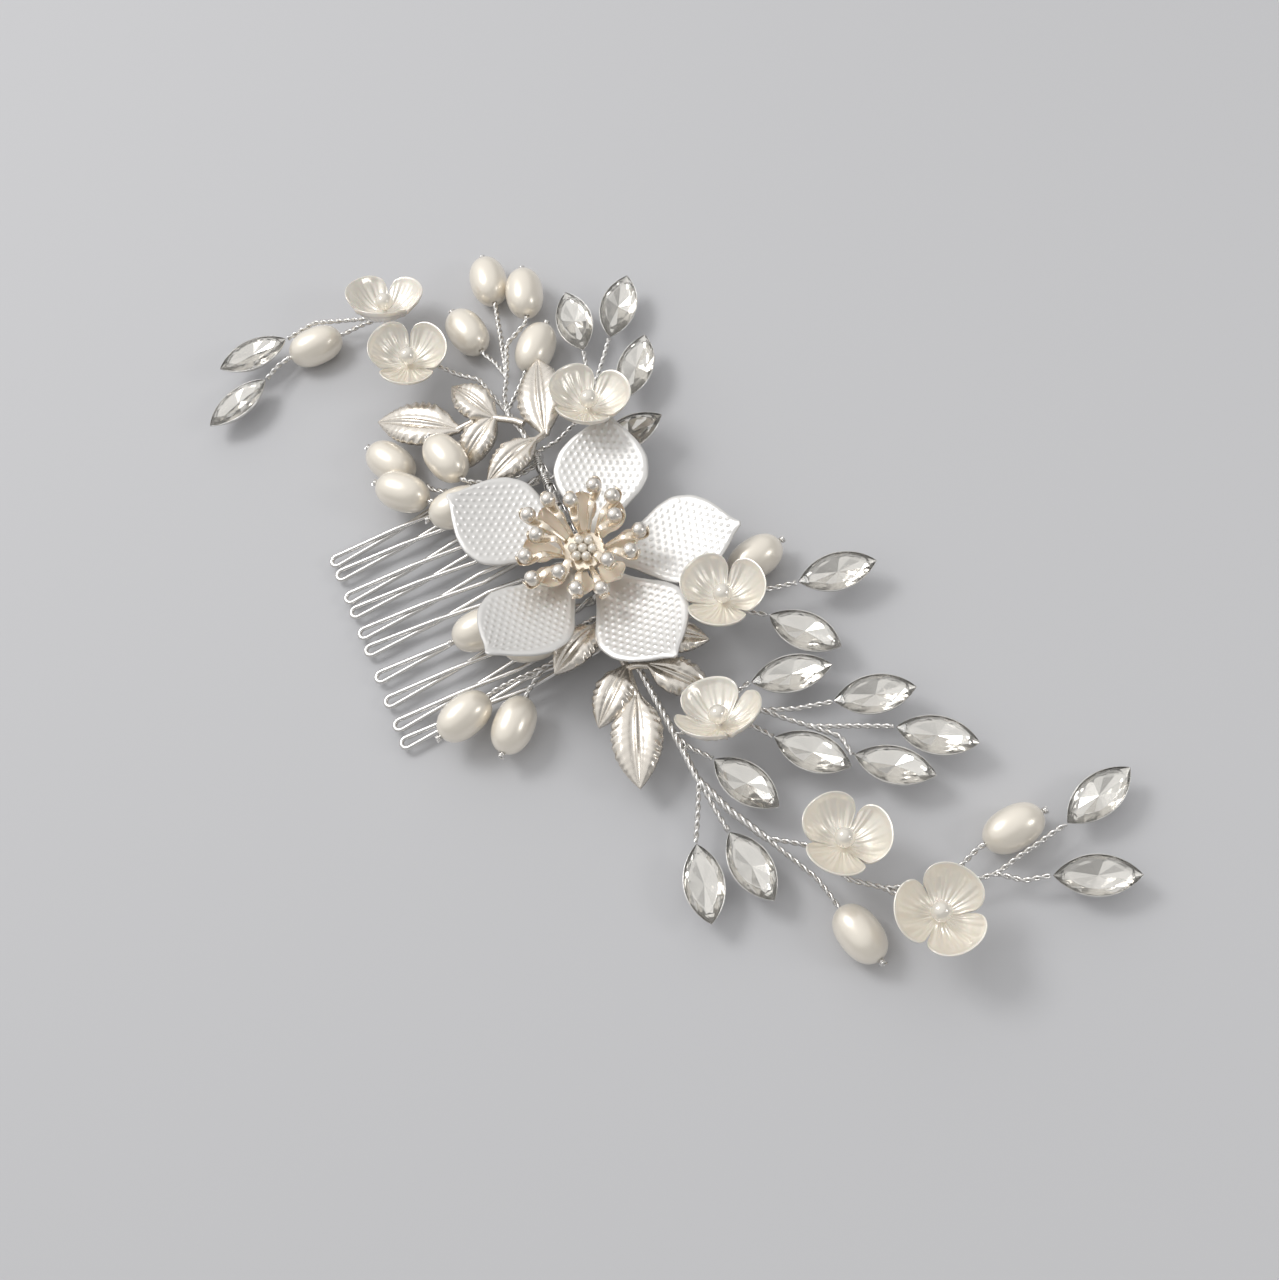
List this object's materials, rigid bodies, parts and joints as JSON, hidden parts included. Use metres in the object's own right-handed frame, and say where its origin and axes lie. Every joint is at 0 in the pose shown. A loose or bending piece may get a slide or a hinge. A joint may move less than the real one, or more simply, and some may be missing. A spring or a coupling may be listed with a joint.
{
  "type": "decorative hair comb",
  "caption": "Bridal hair comb: wire comb with a large dimpled metal flower, small pearlised flowers, turning rice pearls, marquise stones and cast leaves on wire vines.",
  "frame": {"origin": "middle of the axis of the comb spine wire", "axes": "+X along the comb spine towards the longer spray, +Y from the tine tips to the spine, +Z away from the head"},
  "size_m": [0.1825, 0.1299, 0.0203],
  "materials": {
    "bright_silver_wire": "polished",
    "fine_silver_wire": "polished",
    "twisted_silver_wire": "twisted, polished",
    "silver_casting": "satin plated",
    "silver_petal": "pearl silver, dimpled",
    "silver_beads": "polished",
    "champagne_metal": "champagne plated",
    "clear_beads": "clear",
    "pearlised_petal": "pearlised",
    "pearl": "pearl lustre",
    "crystal": "faceted, foiled",
    "silver_cup": "polished"
  },
  "bodies": {
    "comb": {"binding_wire": "fine_silver_wire", "centre_beads": "clear_beads", "champagne_paddles": "champagne_metal", "comb_spine": "bright_silver_wire", "comb_tines": "bright_silver_wire", "flower_hub": "silver_casting", "large_petal_1": "silver_petal", "large_petal_2": "silver_petal", "large_petal_3": "silver_petal", "large_petal_4": "silver_petal", "large_petal_5": "silver_petal", "left_end_cups": "silver_cup", "left_end_stones": "crystal", "left_leaf_sprig": "silver_casting", "left_top_cups": "silver_cup", "left_top_stones": "crystal", "left_upper_leaf_sprig": "silver_casting", "left_vine": "twisted_silver_wire", "right_end_cups": "silver_cup", "right_end_stones": "crystal", "right_inner_leaf_sprig": "silver_casting", "right_leaf_sprig": "silver_casting", "right_middle_cups": "silver_cup", "right_middle_stones": "crystal", "right_near_cups": "silver_cup", "right_near_stones": "crystal", "right_vine": "twisted_silver_wire", "seed_beads": "clear_beads", "small_flower_1": "pearlised_petal", "small_flower_2": "pearlised_petal", "small_flower_3": "pearlised_petal", "small_flower_4": "pearlised_petal", "small_flower_5": "pearlised_petal", "small_flower_6": "pearlised_petal", "small_flower_7": "pearlised_petal", "stamen_beads": "silver_beads", "stamen_wires": "fine_silver_wire"},
    "pearl_01": {"pearl_01": "pearl"},
    "pearl_02": {"pearl_02": "pearl"},
    "pearl_03": {"pearl_03": "pearl"},
    "pearl_04": {"pearl_04": "pearl"},
    "pearl_05": {"pearl_05": "pearl"},
    "pearl_06": {"pearl_06": "pearl"},
    "pearl_07": {"pearl_07": "pearl"},
    "pearl_08": {"pearl_08": "pearl"},
    "pearl_09": {"pearl_09": "pearl"},
    "pearl_10": {"pearl_10": "pearl"},
    "pearl_11": {"pearl_11": "pearl"},
    "pearl_12": {"pearl_12": "pearl"},
    "pearl_13": {"pearl_13": "pearl"},
    "pearl_14": {"pearl_14": "pearl"},
    "pearl_15": {"pearl_15": "pearl"},
    "pearl_16": {"pearl_16": "pearl"}
  },
  "joints": [
    {"name": "pearl_01_spin", "type": "hinge", "parent": "comb", "child": "pearl_01", "pos_m": [-0.06955, -0.03215, -0.0003], "axis": [0, -1, 0], "continuous": true},
    {"name": "pearl_02_spin", "type": "hinge", "parent": "comb", "child": "pearl_02", "pos_m": [-0.06664, 0.00631, -0.0003], "axis": [-0.9903, 0.1392, 0], "continuous": true},
    {"name": "pearl_03_spin", "type": "hinge", "parent": "comb", "child": "pearl_03", "pos_m": [-0.05897, 0.01191, 0.0012], "axis": [-0.9613, 0.2756, 0], "continuous": true},
    {"name": "pearl_04_spin", "type": "hinge", "parent": "comb", "child": "pearl_04", "pos_m": [-0.05699, -0.00212, -0.0003], "axis": [-0.9816, -0.1908, 0], "continuous": true},
    {"name": "pearl_05_spin", "type": "hinge", "parent": "comb", "child": "pearl_05", "pos_m": [-0.0459, 0.00921, 0.0003], "axis": [-0.7431, 0.6691, 0], "continuous": true},
    {"name": "pearl_06_spin", "type": "hinge", "parent": "comb", "child": "pearl_06", "pos_m": [-0.03527, -0.02694, -0.0003], "axis": [-0.8746, -0.4848, 0], "continuous": true},
    {"name": "pearl_07_spin", "type": "hinge", "parent": "comb", "child": "pearl_07", "pos_m": [-0.02765, -0.01632, 0.00459], "axis": [-0.9744, -0.225, 0], "continuous": true},
    {"name": "pearl_08_spin", "type": "hinge", "parent": "comb", "child": "pearl_08", "pos_m": [-0.02563, -0.02679, 0.00289], "axis": [-0.7314, -0.682, 0], "continuous": true},
    {"name": "pearl_09_spin", "type": "hinge", "parent": "comb", "child": "pearl_09", "pos_m": [-0.0167, -0.01805, 0.00369], "axis": [-0.0349, -0.9994, 0], "continuous": true},
    {"name": "pearl_10_spin", "type": "hinge", "parent": "comb", "child": "pearl_10", "pos_m": [0.0099, -0.02295, 0.00339], "axis": [0, -1, 0], "continuous": true},
    {"name": "pearl_11_spin", "type": "hinge", "parent": "comb", "child": "pearl_11", "pos_m": [0.01688, -0.01508, 0.00379], "axis": [-0.2419, -0.9703, 0], "continuous": true},
    {"name": "pearl_12_spin", "type": "hinge", "parent": "comb", "child": "pearl_12", "pos_m": [0.02496, -0.03206, 0.00289], "axis": [0.309, -0.9511, 0], "continuous": true},
    {"name": "pearl_13_spin", "type": "hinge", "parent": "comb", "child": "pearl_13", "pos_m": [0.03013, -0.02429, 0.00149], "axis": [0.7314, -0.682, 0], "continuous": true},
    {"name": "pearl_14_spin", "type": "hinge", "parent": "comb", "child": "pearl_14", "pos_m": [0.01833, 0.02974, 0], "axis": [-0.1908, 0.9816, 0], "continuous": true},
    {"name": "pearl_15_spin", "type": "hinge", "parent": "comb", "child": "pearl_15", "pos_m": [0.08684, 0.04863, -0.0003], "axis": [-0.0872, 0.9962, 0], "continuous": true},
    {"name": "pearl_16_spin", "type": "hinge", "parent": "comb", "child": "pearl_16", "pos_m": [0.09257, 0.01662, -0.0003], "axis": [0.9781, 0.2079, 0], "continuous": true}
  ]
}
